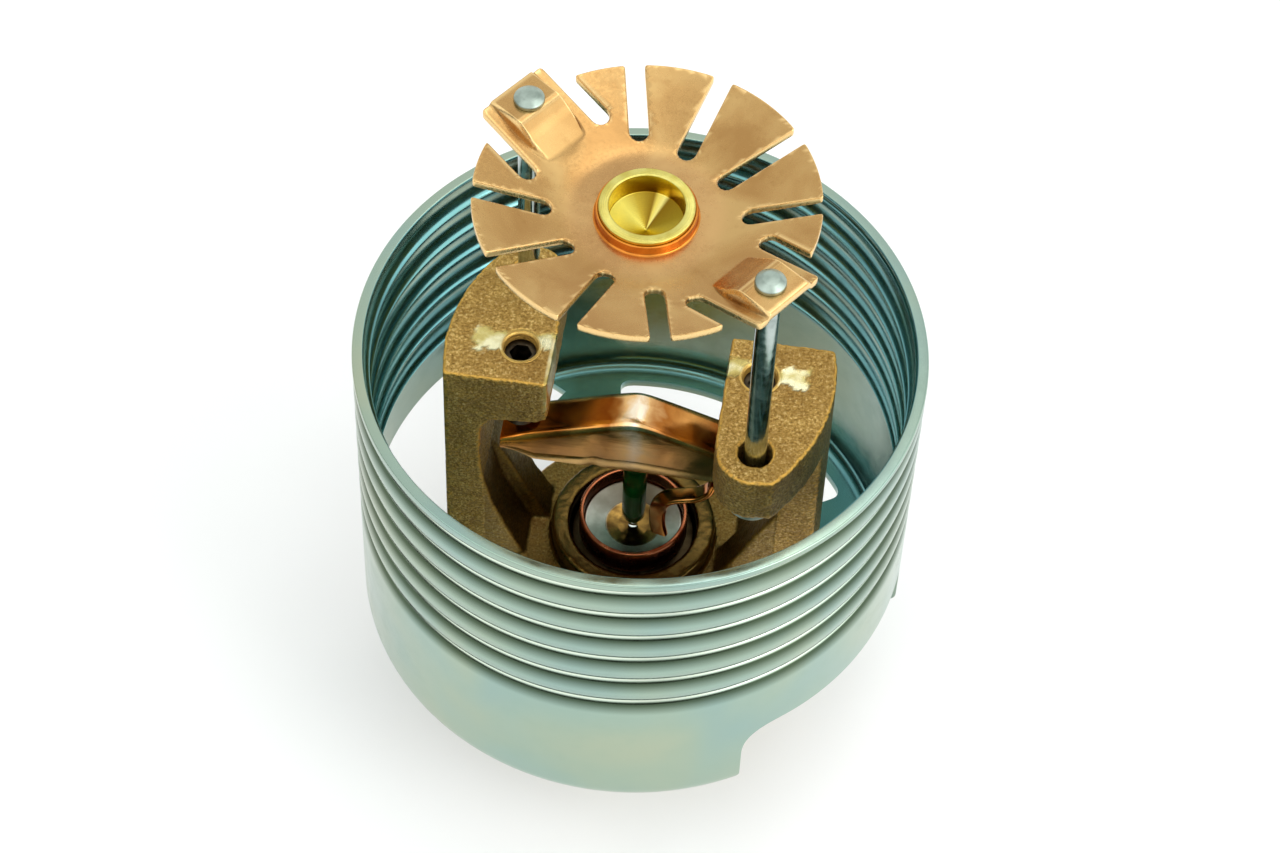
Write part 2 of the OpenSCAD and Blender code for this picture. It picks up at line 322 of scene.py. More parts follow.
def dress(piece, materials, slot, body, *nodes, sharp=35):
    """Gives a finished piece its shading, materials and body; the slot argument is not used."""
    if not isinstance(materials, (list, tuple)):
        materials = [materials]
    piece.data.materials.clear()
    for material in materials:
        piece.data.materials.append(material)
    piece.data.shade_smooth()
    piece.data.set_sharp_from_angle(angle=radians(sharp))
    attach(piece, body)
    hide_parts(*nodes)


# ------------------------ material helpers

def linear(colour):
    """Linear colour from three display values of 0 to 255."""
    shares = [value / 255 for value in colour]
    return [s / 12.92 if s <= 0.04045 else ((s + 0.055) / 1.055) ** 2.4 for s in shares] + [1]


class Nodes:
    """Adds nodes to a tree; a value is a constant or another node's output."""

    def __init__(self, tree):
        self.tree = tree

    def node(self, kind, **settings):
        made = self.tree.nodes.new(kind)
        for key, value in settings.items():
            setattr(made, key, value)
        return made

    def link(self, source, target):
        self.tree.links.new(source, target)

    def feed(self, value, target):
        """Links an output, or sets a constant; a colour has three display values."""
        if isinstance(value, bpy.types.NodeSocket):
            self.link(value, target)
        else:
            target.default_value = linear(value) if isinstance(value, tuple) else value

    def math(self, operation, a, b=0.0):
        made = self.node("ShaderNodeMath", operation=operation)
        self.feed(a, made.inputs[0])
        self.feed(b, made.inputs[1])
        return made.outputs[0]

    def span(self, value, low, high, to_low=0.0, to_high=1.0):
        """Maps low..high of a value to to_low..to_high, clamped."""
        made = self.node("ShaderNodeMapRange", interpolation_type="SMOOTHSTEP")
        self.link(value, made.inputs["Value"])
        ends = {"From Min": low, "From Max": high, "To Min": to_low, "To Max": to_high}
        for key, number in ends.items():
            made.inputs[key].default_value = number
        return made.outputs[0]


class Finish(Nodes):
    """Builds one node material; lengths are in millimetres."""

    def __init__(self, name, **constants):
        self.material = bpy.data.materials.new(name)
        self.material.use_nodes = True
        super().__init__(self.material.node_tree)
        self.shader = self.tree.nodes["Principled BSDF"]
        for key, value in constants.items():
            socket = key.replace("_", " ").title().replace("Ior", "IOR")
            self.shader.inputs[socket].default_value = value
        place = self.node("ShaderNodeTexCoord")
        scale = self.node("ShaderNodeVectorMath", operation="SCALE")
        scale.inputs["Scale"].default_value = 1 / MM
        self.link(place.outputs["Object"], scale.inputs[0])
        self.point = scale.outputs[0]

    def texture(self, kind, stretch, **settings):
        """Texture node that sees the object's points stretched along each axis."""
        mapping = self.node("ShaderNodeMapping")
        mapping.inputs["Scale"].default_value = stretch
        self.link(self.point, mapping.inputs["Vector"])
        made = self.node(kind)
        for key, value in settings.items():
            made.inputs[key].default_value = value
        self.link(mapping.outputs[0], made.inputs["Vector"])
        return made

    def noise(self, size, detail=3, rough=0.5, stretch=(1, 1, 1), distortion=0):
        """Noise from 0 to 1 with features of that size."""
        made = self.texture(
            "ShaderNodeTexNoise", [s / size for s in stretch],
            Scale=1, Detail=detail, Roughness=rough, Distortion=distortion,
        )
        return made.outputs["Fac"]

    def cells(self, size):
        """Distance to the nearest of scattered points, for pits and specks."""
        return self.texture("ShaderNodeTexVoronoi", [1 / size] * 3, Scale=1).outputs["Distance"]

    def attribute(self, name):
        return self.node("ShaderNodeAttribute", attribute_name=name).outputs["Fac"]

    def mix(self, share, a, b):
        """Colour a where the share is 0, and b where it is 1."""
        made = self.node("ShaderNodeMix", data_type="RGBA")
        self.feed(share, made.inputs[0])
        self.feed(a, made.inputs[6])
        self.feed(b, made.inputs[7])
        return made.outputs[2]

    def worn(self, base, low, high, share, colour):
        """Another colour where an edge stands out by low to high."""
        return self.mix(self.span(self.attribute("edge"), low, high, 0, share), base, colour)

    def ramp(self, value, *stops):
        """Colour from (position, colour) stops, with display values."""
        made = self.node("ShaderNodeValToRGB")
        elements = made.color_ramp.elements
        stops = [(position, linear(colour)) for position, colour in stops]
        elements[0].position, elements[0].color = stops[0]
        elements[1].position, elements[1].color = stops[-1]
        for position, colour in stops[1:-1]:
            elements.new(position).color = colour
        self.link(value, made.inputs[0])
        return made.outputs[0]

    def axis(self, index):
        """One coordinate of the object's point."""
        split = self.node("ShaderNodeSeparateXYZ")
        self.link(self.point, split.inputs[0])
        return split.outputs[index]

    def radius(self):
        """Distance from the object's Z axis."""
        flat = self.node("ShaderNodeVectorMath", operation="MULTIPLY")
        flat.inputs[1].default_value = (1, 1, 0)
        self.link(self.point, flat.inputs[0])
        length = self.node("ShaderNodeVectorMath", operation="LENGTH")
        self.link(flat.outputs[0], length.inputs[0])
        return length.outputs["Value"]

    def paint(self, base=None, rough=None, bumps=()):
        """Connects colour, roughness and a chain of (height, depth in mm) bumps."""
        if base is not None:
            self.link(base, self.shader.inputs["Base Color"])
        if rough is not None:
            self.link(rough, self.shader.inputs["Roughness"])
        normal = None
        for height, depth in bumps:
            made = self.node("ShaderNodeBump")
            made.inputs["Strength"].default_value = 1
            made.inputs["Distance"].default_value = depth * MM
            self.link(height, made.inputs["Height"])
            if normal is not None:
                self.link(normal, made.inputs["Normal"])
            normal = made.outputs["Normal"]
        if normal is not None:
            self.link(normal, self.shader.inputs["Normal"])
        return self.material


def zinc_finish():
    """Satin zinc plate under a clear passivate: sage green with faint blue and straw patches; the
    inside gets a darker painted-shade copy, and the thread gets painted shade and a painted highlight
    line.
    """
    f = Finish("zinc_passivate", metallic=1)
    patches = f.noise(16, detail=2, distortion=0.3)
    base = f.ramp(
        patches,
        (0.3, (150, 176, 168)), (0.45, (157, 179, 165)),
        (0.58, (163, 180, 161)), (0.72, (171, 182, 159)),
    )
    mottle = f.noise(2.2, detail=5, rough=0.6)
    base = f.mix(f.span(mottle, 0.45, 0.75, 0, 0.14), base, (146, 172, 156))
    # Painted shade: the inside and floor of the cup get a darker, bluer copy of the plating.
    inner = f.ramp(patches, (0.3, (100, 150, 154)), (0.7, (114, 160, 156)))
    base = f.mix(f.attribute("inside"), base, inner)
    # Painted shade on each flank below a crest, darker towards the groove, for the dark surroundings it
    # reflects.
    base = f.mix(f.math("MULTIPLY", f.attribute("flank"), 0.88), base, (52, 68, 42))
    # Painted highlight: a pale line along the bottom of each groove.
    base = f.mix(f.attribute("shine"), base, (198, 208, 192))
    # Painted shade: dark green in the bottoms of the grooves.
    base = f.mix(f.span(f.attribute("dirt"), 0.1, 1, 0, 0.75), base, (36, 66, 54))
    scratches = f.noise(0.45, detail=2, stretch=(0.3, 0.3, 3))
    uneven = f.math("ADD", mottle, f.math("MULTIPLY", scratches, 0.4))
    rough = f.span(uneven, 0.4, 1.0, 0.15, 0.25)
    fine = f.noise(0.2, detail=2)
    return f.paint(base, rough, [(fine, 0.002), (scratches, 0.0012)])


def cast_finish():
    """Sand-cast brass: grainy golden brown, gold on worn edges, bright where it was staked, with
    painted shade on the hub and in the seat and screw holes.
    """
    f = Finish("cast_brass", metallic=1)
    grain = f.noise(0.26, detail=6, rough=0.7)
    tone = f.noise(3.0, detail=3)
    base = f.ramp(
        grain,
        (0.3, (106, 80, 38)), (0.44, (164, 128, 66)),
        (0.56, (204, 166, 92)), (0.68, (252, 226, 160)),
    )
    base = f.mix(f.span(tone, 0.35, 0.7, 0, 0.4), base, (138, 102, 50))
    base = f.worn(base, 0.004, 0.03, 0.8, (234, 184, 88))
    machined = f.attribute("machined")
    base = f.mix(machined, base, (200, 166, 92))
    # Painted shade: the hub and boss between the arms are darkened, and the same mark makes them
    # smoother.
    hub = f.attribute("hub")
    base = f.mix(hub, base, (88, 70, 34))
    # Painted shade: dark brown in the bulb's seat and, weaker, inside the screw holes.
    base = f.mix(f.span(f.attribute("sooty"), 0, 1, 0, 0.85), base, (56, 44, 24))
    stake = f.attribute("stake")
    torn = f.ramp(
        tone,
        (0.36, (170, 150, 82)), (0.5, (206, 190, 118)), (0.62, (246, 240, 196)),
    )
    base = f.mix(stake, base, torn)
    bright = f.math("MAXIMUM", f.math("MAXIMUM", stake, machined), hub)
    rough = f.span(bright, 0, 1, 0.42, 0.26)
    pits = f.cells(0.4)
    soft = f.math("SUBTRACT", 1.0, f.math("MULTIPLY", bright, 0.93))
    return f.paint(base, rough, [
        (f.math("MULTIPLY", grain, soft), 0.17),
        (f.math("MULTIPLY", pits, soft), 0.05),
    ])


def stamped_finish():
    """Satin phosphor bronze sheet: golden tan, a touch pinker in the middle, with faint stains."""
    f = Finish("stamped_bronze", metallic=1)
    tone = f.noise(6, detail=3, distortion=0.4)
    base = f.ramp(
        tone,
        (0.32, (178, 136, 82)), (0.5, (190, 150, 94)), (0.68, (202, 166, 108)),
    )
    centre = f.span(f.radius(), 6.5, 8.6, 0.35, 0)
    base = f.mix(centre, base, (188, 146, 102))
    stain = f.span(f.noise(2.6, detail=6, rough=0.7), 0.54, 0.76, 0, 0.4)
    base = f.mix(stain, base, (150, 104, 56))
    speck = f.span(f.noise(0.5, detail=2), 0.68, 0.8, 0, 0.18)
    base = f.mix(speck, base, (150, 100, 54))
    base = f.worn(base, 0.002, 0.02, 0.75, (250, 214, 150))
    fine = f.noise(0.35, detail=4)
    rough = f.span(f.math("ADD", tone, fine), 0.75, 1.25, 0.22, 0.33)
    return f.paint(base, rough, [(fine, 0.0015), (f.noise(2.5, detail=2), 0.02)])


def copper_finish(name, light, dark, rough_low, rough_high):
    """Polished copper alloy with tarnish in soft patches."""
    f = Finish(name, metallic=1)
    tarnish = f.noise(3.2, detail=3, distortion=0.5)
    base = f.ramp(tarnish, (0.32, dark), (0.62, light))
    lines = f.noise(0.35, detail=3, stretch=(0.2, 1, 1))
    rough = f.span(tarnish, 0.35, 0.7, rough_high, rough_low)
    return f.paint(base, rough, [(lines, 0.006)])


def yoke_finish():
    """Folded bronze with painted reflections: a painted highlight along the ridge, painted light and
    dark bands towards its ends, and painted olive reflection on the flanges.
    """
    f = Finish("yoke_bronze", metallic=1)
    wander = f.noise(2.6, detail=3, distortion=0.5)
    from_ridge = f.math("ADD", f.math("ABSOLUTE", f.axis(0)), f.math("MULTIPLY", wander, 4.0))
    # Painted reflections along the yoke: a near-white painted highlight at the ridge, then painted dark
    # and bright bands out to the ends.
    base = f.ramp(
        f.math("DIVIDE", from_ridge, 16.0),
        (0.13, (255, 240, 214)), (0.2, (236, 190, 128)), (0.3, (176, 108, 46)),
        (0.46, (222, 158, 84)), (0.62, (160, 92, 36)), (0.8, (246, 152, 62)),
    )
    # Painted reflection: the flanges get a dull olive colour for the dark surroundings they face.
    dull = f.mix(wander, (96, 72, 38), (146, 108, 60))
    base = f.mix(f.math("MULTIPLY", f.attribute("flange"), 0.85), base, dull)
    base = f.worn(base, 0.004, 0.03, 0.5, (226, 184, 118))
    lines = f.noise(0.35, detail=3, stretch=(0.2, 1, 1))
    rough = f.span(wander, 0.35, 0.7, 0.24, 0.12)
    return f.paint(base, rough, [(lines, 0.005)])


def turned_finish():
    """Bright turned brass: fine rings about the axis, sheen drawn out along them, painted shade on the
    bore's wall and painted reflection streaks round the cone.
    """
    f = Finish("turned_brass", metallic=1, anisotropic=0.9, roughness=0.26)
    tangent = f.node("ShaderNodeTangent", direction_type="RADIAL", axis="Z")
    f.link(tangent.outputs[0], f.shader.inputs["Tangent"])
    tone = f.noise(1.8, detail=3)
    base = f.ramp(tone, (0.35, (206, 190, 96)), (0.65, (222, 212, 124)))
    # Painted shade: the bore's wall is darker and more orange.
    base = f.mix(f.span(f.attribute("bore"), 0, 1, 0, 0.8), base, (196, 140, 48))
    # Painted reflection: light and dark streaks round the cone by angle, with one bright streak.
    around = f.math("ARCTAN2", f.axis(1), f.axis(0))
    sectors = f.ramp(
        f.math("ADD", f.math("DIVIDE", around, TAU), 0.5),
        (0.0, (226, 208, 90)), (0.2, (184, 170, 58)), (0.4, (212, 198, 84)),
        (0.56, (150, 126, 36)), (0.665, (136, 104, 24)), (0.685, (255, 240, 140)),
        (0.715, (246, 222, 104)), (0.735, (150, 116, 30)), (0.82, (196, 168, 58)),
        (0.9, (240, 224, 108)), (1.0, (226, 208, 90)),
    )
    base = f.mix(f.attribute("cone"), base, sectors)
    rings = f.node("ShaderNodeTexWave", wave_type="RINGS", rings_direction="Z")
    rings.inputs["Scale"].default_value = 1.6
    rings.inputs["Distortion"].default_value = 0.4
    f.link(f.point, rings.inputs["Vector"])
    return f.paint(base, None, [(rings.outputs["Fac"], 0.003)])


def steel_finish(name, light, dark, rough_low, rough_high):
    """Plain steel with fine drawn lines and faint dull patches."""
    f = Finish(name, metallic=1)
    tone = f.noise(1.2, detail=4)
    base = f.ramp(tone, (0.35, dark), (0.65, light))
    lines = f.noise(0.22, detail=2, stretch=(1, 1, 0.08))
    rough = f.span(tone, 0.3, 0.7, rough_low, rough_high)
    return f.paint(base, rough, [(lines, 0.005)])


def insert_finish():
    """Pale satin ring round a seat for the bulb painted dark and gold-tinted as shade, with a painted
    shadow on the ring's back half.
    """
    f = Finish("insert_steel", metallic=1)
    tone = f.noise(1.2, detail=4)
    pale = f.ramp(tone, (0.35, (186, 188, 172)), (0.65, (214, 216, 202)))
    # Painted shade: the seat for the bulb is dark with a gold tint.
    seat = f.ramp(tone, (0.35, (84, 62, 30)), (0.65, (150, 118, 60)))
    out = f.span(f.radius(), 2.75, 3.05)
    # Painted shadow: the ring darkens towards its back half.
    pale = f.mix(f.span(f.axis(1), -0.8, 2.2, 0, 0.75), pale, (72, 64, 46))
    return f.paint(f.mix(out, seat, pale), f.span(out, 0, 1, 0.16, 0.3), [(f.noise(0.3), 0.004)])


def glass_finish():
    """Clear glass with a faint ripple."""
    f = Finish("bulb_glass", roughness=0.02, ior=1.3, transmission_weight=1)
    base = f.ramp(f.noise(1.5), (0.3, (236, 248, 240)), (0.7, (248, 255, 250)))
    return f.paint(base, None, [(f.noise(0.9, detail=1), 0.004)])


def liquid_finish():
    """Deep green liquid, nearly opaque."""
    f = Finish("green_liquid", roughness=0.12, ior=1.2, transmission_weight=0.1)
    base = f.ramp(f.noise(1.3), (0.3, (2, 62, 20)), (0.7, (10, 92, 34)))
    return f.paint(base)


def polymer_finish():
    """Off-white fluoropolymer with a waxy surface."""
    f = Finish("seal_polymer", ior=1.38)
    tone = f.noise(0.8, detail=3)
    base = f.ramp(tone, (0.3, (226, 226, 218)), (0.7, (240, 240, 234)))
    return f.paint(base, f.span(tone, 0.3, 0.7, 0.45, 0.6), [(tone, 0.01)])


ZINC = zinc_finish()
CAST = cast_finish()
STAMPED = stamped_finish()
COLLAR = copper_finish("collar_copper", (226, 146, 62), (178, 98, 34), 0.14, 0.24)
YOKE = yoke_finish()
CAP = copper_finish("cap_copper", (200, 122, 82), (140, 74, 48), 0.2, 0.34)
TURNED = turned_finish()
STEEL = steel_finish("pin_steel", (186, 196, 192), (146, 158, 154), 0.08, 0.2)
RIVET = steel_finish("rivet_zinc", (178, 192, 182), (144, 158, 148), 0.3, 0.45)
SCREW = steel_finish("screw_black", (92, 82, 66), (44, 38, 30), 0.3, 0.5)
INSERT = insert_finish()
# Painted shade: the nickel washer is coloured dark brown so the gap round the cap looks shaded.
WASHER_SHADE = steel_finish("washer_nickel", (84, 70, 48), (56, 44, 28), 0.3, 0.45)
GLASS = glass_finish()
LIQUID = liquid_finish()
POLYMER = polymer_finish()


# ------------------------ support cup

def crest_fall(distance):
    """How far the wall has fallen at a distance from a crest, on an ellipse of height 1."""
    return 1 - sqrt(1 - (distance / CREST_HALF) ** 2)


def groove_depth(turns, angle, height):
    """Share of the rolled thread's depth, 1 in a groove; angle runs from the back of the cup."""
    if turns < -0.5:
        return 0.0
    lead_in = smoothstep(0, LEAD_IN, angle) if turns < 0.5 else 1.0
    lead_out = 1 - smoothstep(RIM_Z - 1.3, RIM_Z - 0.6, height)
    from_crest = abs(turns - math.floor(turns) - 0.5) * THREAD_PITCH
    return crest_fall(from_crest) / crest_fall(THREAD_PITCH / 2) * lead_in * lead_out


def helix_height(level, angle):
    """Height at an angle of the helix that passes the front at this level."""
    return level + THREAD_PITCH * (angle - pi) / TAU


LEAD_IN = 1.2  # angle over which the lowest groove grows to its full depth
THREAD_FROM = THREAD_LOW - THREAD_PITCH
THREAD_TO = RIM_Z - 0.5


def cup_profile():
    """Closed section of the drawn cup, from the floor's hole out, up, over the rim and back.

    Entries with a third value lie on a helix, so that the thread's grooves follow the mesh.
    """
    wall_from = BASE + CUP_BEND
    wall_in = CUP_R - SHEET
    plain_steps, floor_steps = 8, 10
    plain = [wall_from + (THREAD_FROM - wall_from) * k / plain_steps for k in range(plain_steps + 1)]
    rows_per_pitch = 28
    crowding = 0.85  # rows lie closer together in the grooves
    first = math.floor((THREAD_FROM - THREAD_LOW) / THREAD_PITCH - 0.5) * rows_per_pitch
    last = math.ceil((THREAD_TO - THREAD_LOW) / THREAD_PITCH + 0.5) * rows_per_pitch
    levels = []
    for k in range(first, last + 1):
        turns = k / rows_per_pitch
        levels.append(THREAD_LOW + THREAD_PITCH * (turns - crowding * sin(TAU * turns) / TAU))
    bend_at = CUP_R - CUP_BEND
    outer, inner = [
        [
            (bend_at + r * cos(radians(a)), wall_from + r * sin(radians(a)))
            for a in range(-90, 0, 10)
        ]
        for r in (CUP_BEND, CUP_BEND - SHEET)
    ]
    burr = 0.1  # the rim stands in a little from the wall
    rim = round_corners([
        (CUP_R, THREAD_TO), (CUP_R, RIM_Z, 0.28), (wall_in - burr, RIM_Z, 0.2),
        (wall_in - burr, RIM_Z - 0.3, 0.1), (wall_in, THREAD_TO),
    ])
    floor = [NECK_R + (bend_at - NECK_R) * k / floor_steps for k in range(floor_steps)]
    return (
        [(r, BASE) for r in floor] + outer + [(CUP_R, z) for z in plain]
        + [(CUP_R, z, "helix") for z in levels] + rim
        + [(wall_in, z, "helix") for z in reversed(levels)] + [(wall_in, z) for z in reversed(plain)]
        + inner[::-1] + [(r, BASE + SHEET) for r in reversed(floor)]
    )


def cup_warp(entry, angle):
    """Places a point of the cup's section, and sinks the thread's grooves."""
    radius, height = entry[:2]
    if len(entry) == 2:
        return radius, height
    turns = (height - THREAD_LOW) / THREAD_PITCH
    placed = min(THREAD_TO, max(THREAD_FROM, helix_height(height, angle)))
    return radius - THREAD_DEPTH * groove_depth(turns, angle, placed), placed


def sector_outline(low, high, middle, span, corner):
    """Closed outline of part of a ring, with round corners, as (radius, angle)."""
    half = span / 2
    steps = 24  # points on each curved side
    long_side = 2  # mm
    middle_r = (low + high) / 2
    corners = [(low, -half), (high, -half), (high, half), (low, half)]
    rounded = round_corners([(r, a * middle_r, corner) for r, a in corners], closed=True)
    outline = []
    for i, (r, arc) in enumerate(rounded):
        nxt = rounded[(i + 1) % len(rounded)]
        outline.append((r, arc))
        if abs(nxt[1] - arc) > long_side:
            outline += [
                (r + (nxt[0] - r) * k / steps, arc + (nxt[1] - arc) * k / steps)
                for k in range(1, steps)
            ]
    return [(r, middle + arc / middle_r) for r, arc in outline]


def sector_cutter(low, high, middle, span, z_low, z_high, corner=1.2):
    """Tool that cuts part of a ring out of the floor."""
    return prism(
        "cutter", sector_outline(low, high, middle, span, corner),
        lambda r, angle, end: polar(r, angle, (z_low, z_high)[end]),
    )


def arch_cutter(angle):
    """Tool that cuts a vent arch out of the wall."""
    reach = (20, 32)  # from inside the wall to outside it
    half, top = ARCH_W / 2, BASE + ARCH_H
    outline = round_corners([
        (-half, BASE - 1), (half, BASE - 1), (half, top, ARCH_CORNER), (-half, top, ARCH_CORNER),
    ], closed=True, steps=12)

    def place(side, z, end):
        out = reach[end]
        return (
            out * cos(angle) - side * sin(angle),
            out * sin(angle) + side * cos(angle), z,
        )
    return prism("cutter", outline, place)


def mark_cup(cup):
    """Stores where the cup's inside is, and where the thread gets painted shade on its flanks, a
    painted highlight line and painted shade in its grooves.
    """
    points = coordinates(cup)
    radius = distance_from_axis(points)
    height = points[:, 2]
    angle = np.mod(np.arctan2(points[:, 1], points[:, 0]) - pi / 2, TAU)
    turns = (height - THREAD_LOW) / THREAD_PITCH - (angle - pi) / TAU
    floor = (height > BASE + SHEET / 2) & (height < BASE + CUP_BEND) & (radius < CUP_R - SHEET / 2)
    inside = (radius < CUP_R - SHEET - 0.02) & (height > BASE + SHEET / 2)
    outside = ~inside & (height < THREAD_TO)
    mark(cup, inside=inside | floor)
    below_groove = np.mod(turns, 1)  # 0.5 on a crest, 1 at the bottom of a groove
    ramp_up = np.clip((below_groove - 0.5) / 0.36, 0, 1)
    cut_off = np.clip((0.97 - below_groove) / 0.05, 0, 1)
    lead_in = np.where(turns < 1, np.clip(angle / LEAD_IN, 0, 1), 1)
    faded = lead_in * (turns > -0.5) * outside
    # Painted shade on the flanks below the crests.
    mark(cup, flank=ramp_up ** 1.15 * cut_off * faded)
    # Painted highlight line near the bottom of each groove.
    mark(cup, shine=np.clip((below_groove - 0.93) / 0.04, 0, 1) * faded)
    dirt_below = 0.05  # the painted shade lies a little low in a groove, in turns
    grooves = np.array([groove_depth(t, a, z) for t, a, z in zip(turns - dirt_below, angle, height)])
    # Painted shade in the bottoms of the grooves, on the outside only.
    dirt = np.clip(grooves * 2.5 - 1.5, 0, 1) * (height > THREAD_FROM)
    mark(cup, dirt=dirt * outside)


def make_cup():
    cup = revolve("support_cup_shell", cup_profile(), segments=300, warp=cup_warp, closed=True)
    turn(cup, pi / 2)
    under = BASE - 1
    for half_turn in (0, pi):
        arch, window = ARCH_ANGLE + half_turn, WINDOW_ANGLE + half_turn
        cut(
            cup,
            arch_cutter(arch),
            sector_cutter(WINDOW_IN, ARCH_OUT, arch, ARCH_SPAN, under, BASE + 2.5),
            sector_cutter(WINDOW_IN, WINDOW_OUT, window, WINDOW_SPAN, under, BASE + 2),
        )
    mark_cup(cup)
    dress(cup, ZINC, "zinc_plate", "head", "support_cup")


make_cup()


# ------------------------ frame casting

def screw_sleeve(x):
    """Upset lip round a set screw's hole, and the thread rings that show inside it."""
    turns = 10
    pitch = 0.7
    profile = round_corners([
        (SCREW_HOLE_R + 0.42, ARMS_TOP - 0.3), (SCREW_HOLE_R + 0.3, ARMS_TOP, 0.1),
        (SCREW_HOLE_R, ARMS_TOP, 0.12), (SCREW_HOLE_R - 0.14, ARMS_TOP - 0.35),
    ])
    for k in range(turns * 2):
        z = ARMS_TOP - 0.55 - k * pitch / 2
        profile.append((SCREW_HOLE_R - (0.26 if k % 2 else 0.02), z))
    return shift(revolve("sleeve", profile, segments=40), x, 0)


def nipple():
    """Inlet with a taper pipe thread, inside the CAD's radius."""
    pitch, depth = 1.814, 0.95
    first, last = 0.9, 12.6  # heights where the thread starts and runs out
    top, end_r = 14.3, NIPPLE_R - 0.9
    row_steps = 120

    def warp(entry, angle):
        radius, height = entry
        if radius < NIPPLE_R - 0.5 or not first < height < last:
            return radius, height
        turns = height / pitch - angle / TAU
        wave = abs(2 * (turns - math.floor(turns)) - 1)
        flat = min(1.0, max(0.0, (wave - 0.08) / 0.84))
        run_out = smoothstep(last, last - 2.2, height) * smoothstep(first - 0.3, first + 0.8, height)
        taper = (height - first) / 32
        return radius - depth * (1 - flat) * run_out - (0.35 - taper) * run_out, height

    rows = [(NIPPLE_R, first + (last - first) * k / row_steps) for k in range(row_steps + 1)]
    section = round_corners([(WATERWAY_R, top), (WATERWAY_R, 0, 0.4), (end_r, 0)])
    section += [(NIPPLE_R - 0.15, 0.8), *rows, (NIPPLE_R, 13.6), (NIPPLE_R, top)]
    return revolve("nipple", section, segments=144, warp=warp, closed=True)


def casting_copy(cut_height):
    """Copy of the CAD frame above a height, closed at the cut."""
    piece = new_object("frame_casting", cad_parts["frame"].data.copy())
    shape = bmesh.new()
    shape.from_mesh(piece.data)
    bmesh.ops.remove_doubles(shape, verts=shape.verts, dist=1e-6)
    found = slice_mesh(shape, (0, 0, -1), -cut_height, clear_outer=True)
    rim = [e for e in found["geom_cut"] if isinstance(e, bmesh.types.BMEdge)]
    bmesh.ops.holes_fill(shape, edges=rim, sides=0)
    shape.to_mesh(piece.data)
    shape.free()
    return piece


def roughen(casting):
    """Sand-cast lumps, calmer where the casting was machined."""
    points = coordinates(casting)
    normals = vertex_rows(casting, "normal")
    moved = points.copy()
    for i, (x, y, z) in enumerate(points):
        hole = min(abs(hypot(x - side * SCREW_X, y) - SCREW_HOLE_R) for side in (-1, 1))
        calm = 0.15 if hypot(x, y) < SEAT_REACH or hole < 0.25 else 1
        coarse = 0.07 * noise.noise((x * 0.7, y * 0.7, z * 0.7))
        fine = 0.05 * noise.noise((x * 2.6, y * 2.6, z * 2.6))
        moved[i] += normals[i] * (coarse + fine) * calm
    moved[:, 2] = np.minimum(moved[:, 2], ARMS_TOP - 0.05)
    radius = distance_from_axis(moved)
    limit = np.minimum(radius, frame_high.x) / radius
    moved[:, :2] *= limit[:, None]
    casting.data.vertices.foreach_set("co", (moved * MM).astype(np.float32).ravel())
    casting.data.update()


def staked(x, y, z):
    """How bright the punch left a point on top of the heads, across each set screw."""
    if z < ARMS_TOP - 5:
        return 0.0
    away = abs(x) - SCREW_X
    ragged = 0.75 * noise.noise((x * 0.9, y * 0.9, 3)) + 0.35 * noise.noise((x * 3, y * 3, 7))
    struck_face = x < 0 and abs(x) < 8.95 and y < 1.5 + ragged
    if struck_face and z > ARMS_TOP - 4.5 + ragged:
        return 0.75
    if z <= ARMS_TOP - 0.5:
        return 0.0
    wide = 0.68 + 0.22 * abs(away) + ragged
    middle = 0.9 if away < 0 else 0.4
    across = smoothstep(wide, wide - 0.25, abs(y - middle))
    past_lip = smoothstep(1.8, 2.15, hypot(away, y))
    return across * past_lip * smoothstep(5.0, 4.6, abs(away) + ragged)


def mark_casting(casting):
    """Stores where the casting is worn, staked and machined, and where it gets painted shade: in the
    seat, in the screw holes and on the hub.
    """
    points = coordinates(casting)
    x, y, z = points.T
    radius = distance_from_axis(points)
    hole = np.hypot(np.abs(x) - SCREW_X, y)
    mark_edges(casting, z > BASE)
    mark(casting, stake=[staked(*point) for point in points])
    in_hole = (hole < SCREW_HOLE_R + 0.12) & (z > ARMS_TOP - 8) & (z < ARMS_TOP - 0.3)
    in_seat = (radius < SEAT_REACH) & (z < 24.4) & (z > 20)
    # Painted shade in the seat and, weaker, inside the screw holes.
    mark(casting, sooty=np.where(in_seat, 1.0, in_hole * 0.6))
    lip = (hole > SCREW_HOLE_R - 0.05) & (hole < SCREW_HOLE_R + 0.36) & (z >= ARMS_TOP - 0.08)
    mark(casting, machined=(z < 14) | lip)
    # Painted shade on the boss and on the hub between the arms.
    boss = (radius < 9) & (z > 22) & (z < 25.5)
    shaded = (np.abs(x) < 15.2) & (z > BASE) & (z < 37)
    mark(casting, hub=np.where(boss, 0.9, 0.55 * shaded))


def make_casting():
    casting = casting_copy(13.9)
    modify(casting, "REMESH", mode="VOXEL", voxel_size=0.22 * MM)
    modify(casting, "SMOOTH", factor=0.5, iterations=7)
    roughen(casting)
    join(casting, nipple(), screw_sleeve(SCREW_X), screw_sleeve(-SCREW_X))
    mark_casting(casting)
    dress(casting, CAST, "cast_brass", "head", "frame", sharp=50)


make_casting()


# ------------------------ deflector

def slot_root(centre, direction):
    """Half circle round a slot's root, from its clockwise side to the other."""
    steps = 8
    angles = [direction - pi / 2 - pi * k / steps for k in range(steps + 1)]
    u, v = centre
    return [(u + SLOT_HALF * cos(a), v + SLOT_HALF * sin(a)) for a in angles]


def outer_arc(start, end):
    """Points on the teeth's circle between two angles, ends left out."""
    count = max(2, int((end - start) / radians(2)))
    return [polar(TEETH_R, start + (end - start) * k / count) for k in range(1, count)]


